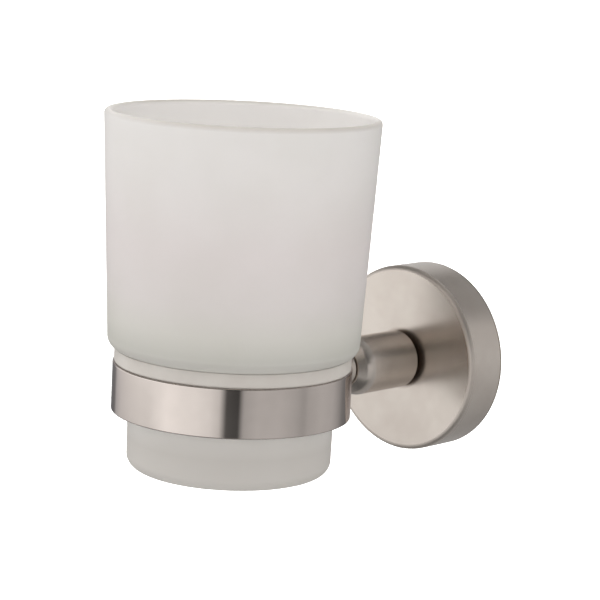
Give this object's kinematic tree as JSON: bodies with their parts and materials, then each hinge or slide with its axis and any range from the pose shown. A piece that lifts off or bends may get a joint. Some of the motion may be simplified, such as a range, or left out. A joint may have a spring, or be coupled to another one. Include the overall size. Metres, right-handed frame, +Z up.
{
  "type": "toothbrush tumbler holder",
  "caption": "Wall holder whose round rose and short arm carry a steel ring, with a frosted glass tumbler resting on a plastic liner in the ring.",
  "frame": {"origin": "centre of the wall bracket's back face, where the holder meets the wall, on the arm's axis", "axes": "+Z up along the tumbler's axis, +Y into the wall, so the arm and the tumbler reach out along -Y; +X to the right for someone facing the wall"},
  "size_m": [0.0748, 0.1411, 0.1029],
  "materials": {
    "frosted_glass": "acid-etched, matte and nearly opaque",
    "clear_plastic": "translucent moulded plastic",
    "polished_steel": "polished stainless steel with a faint grain",
    "satin_steel": "satin brushed stainless steel",
    "screw_steel": "bright zinc-plated or stainless screw steel",
    "cast_zinc": "raw die-cast zinc",
    "plug_nylon": "moulded grey nylon"
  },
  "bodies": {
    "holder": {"ring_band": "polished_steel", "ring_neck": "satin_steel", "arm": "satin_steel", "arm_dowel": "screw_steel", "neck_dowel": "screw_steel", "clamp_screw": "screw_steel", "lock_washer": "screw_steel", "rose_cover": "satin_steel", "set_screw": "screw_steel", "wall_bracket": "cast_zinc", "wall_screw_upper": "screw_steel", "wall_screw_lower": "screw_steel", "wall_plug_upper": "plug_nylon", "wall_plug_lower": "plug_nylon"},
    "liner": {"ring_liner": "clear_plastic"},
    "tumbler": {"tumbler": "frosted_glass"}
  },
  "joints": [
    {"name": "liner_turn", "type": "hinge", "parent": "holder", "child": "liner", "pos_m": [0, -0.0842, 0], "axis": [0, 0, 1], "continuous": true},
    {"name": "tumbler_lift", "type": "slide", "parent": "liner", "child": "tumbler", "axis": [0, 0, 1], "range_m": [0, 0.08]}
  ]
}
